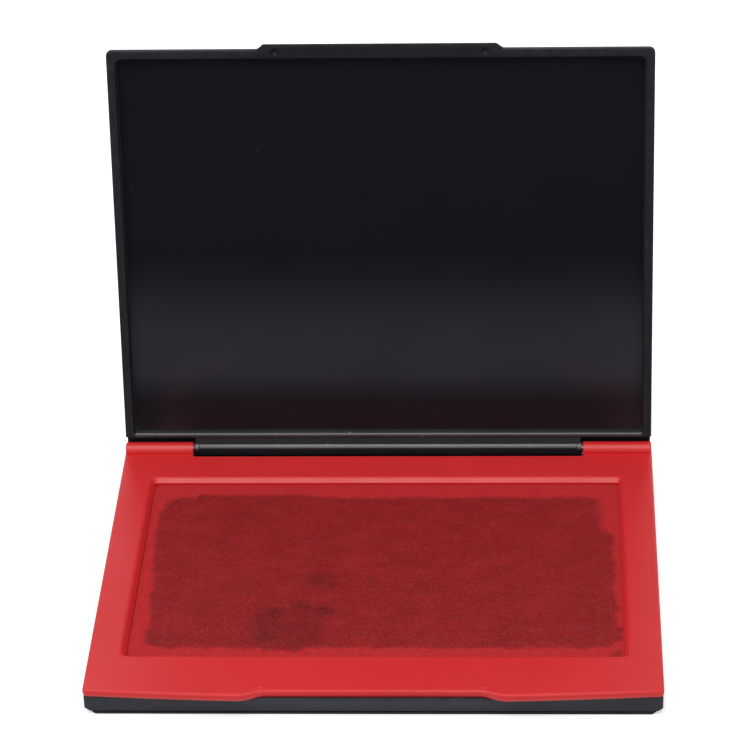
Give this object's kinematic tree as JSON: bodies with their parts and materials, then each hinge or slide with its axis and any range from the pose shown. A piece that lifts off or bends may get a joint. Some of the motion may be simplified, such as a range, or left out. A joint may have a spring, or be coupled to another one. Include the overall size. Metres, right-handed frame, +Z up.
{
  "type": "stamp pad",
  "caption": "Flat ink stamp pad with a hinged lid: black tray, red bevelled frame, woven red pad, thumb notch and a lid that stands open on its heel.",
  "frame": {"origin": "on the underside of the base tray, midway between the front corners and the hinge axis", "axes": "+X along the hinge to the right, -Y towards the user at the thumb notch, +Z up from the desk"},
  "size_m": [0.126, 0.1163, 0.1093],
  "materials": {
    "black_case": "satin moulded plastic",
    "black_lid": "smooth, slightly glossy moulded plastic",
    "red_frame": "satin moulded plastic",
    "steel_pin": "drawn wire",
    "grey_board": "pressed board",
    "inked_felt": "felt soaked with red ink",
    "inked_cloth": "woven cotton soaked with red ink"
  },
  "bodies": {
    "case": {"base_tray": "black_case", "top_frame": "red_frame", "hinge_pin_left": "steel_pin", "hinge_pin_right": "steel_pin", "backing_board": "grey_board", "ink_felt": "inked_felt", "pad_cloth": "inked_cloth"},
    "lid": {"lid": "black_lid"}
  },
  "joints": [
    {"name": "lid_hinge", "type": "hinge", "parent": "case", "child": "lid", "pos_m": [0, 0.0504, 0.00742], "axis": [1, 0, 0], "range_deg": [0, 95.7]}
  ]
}
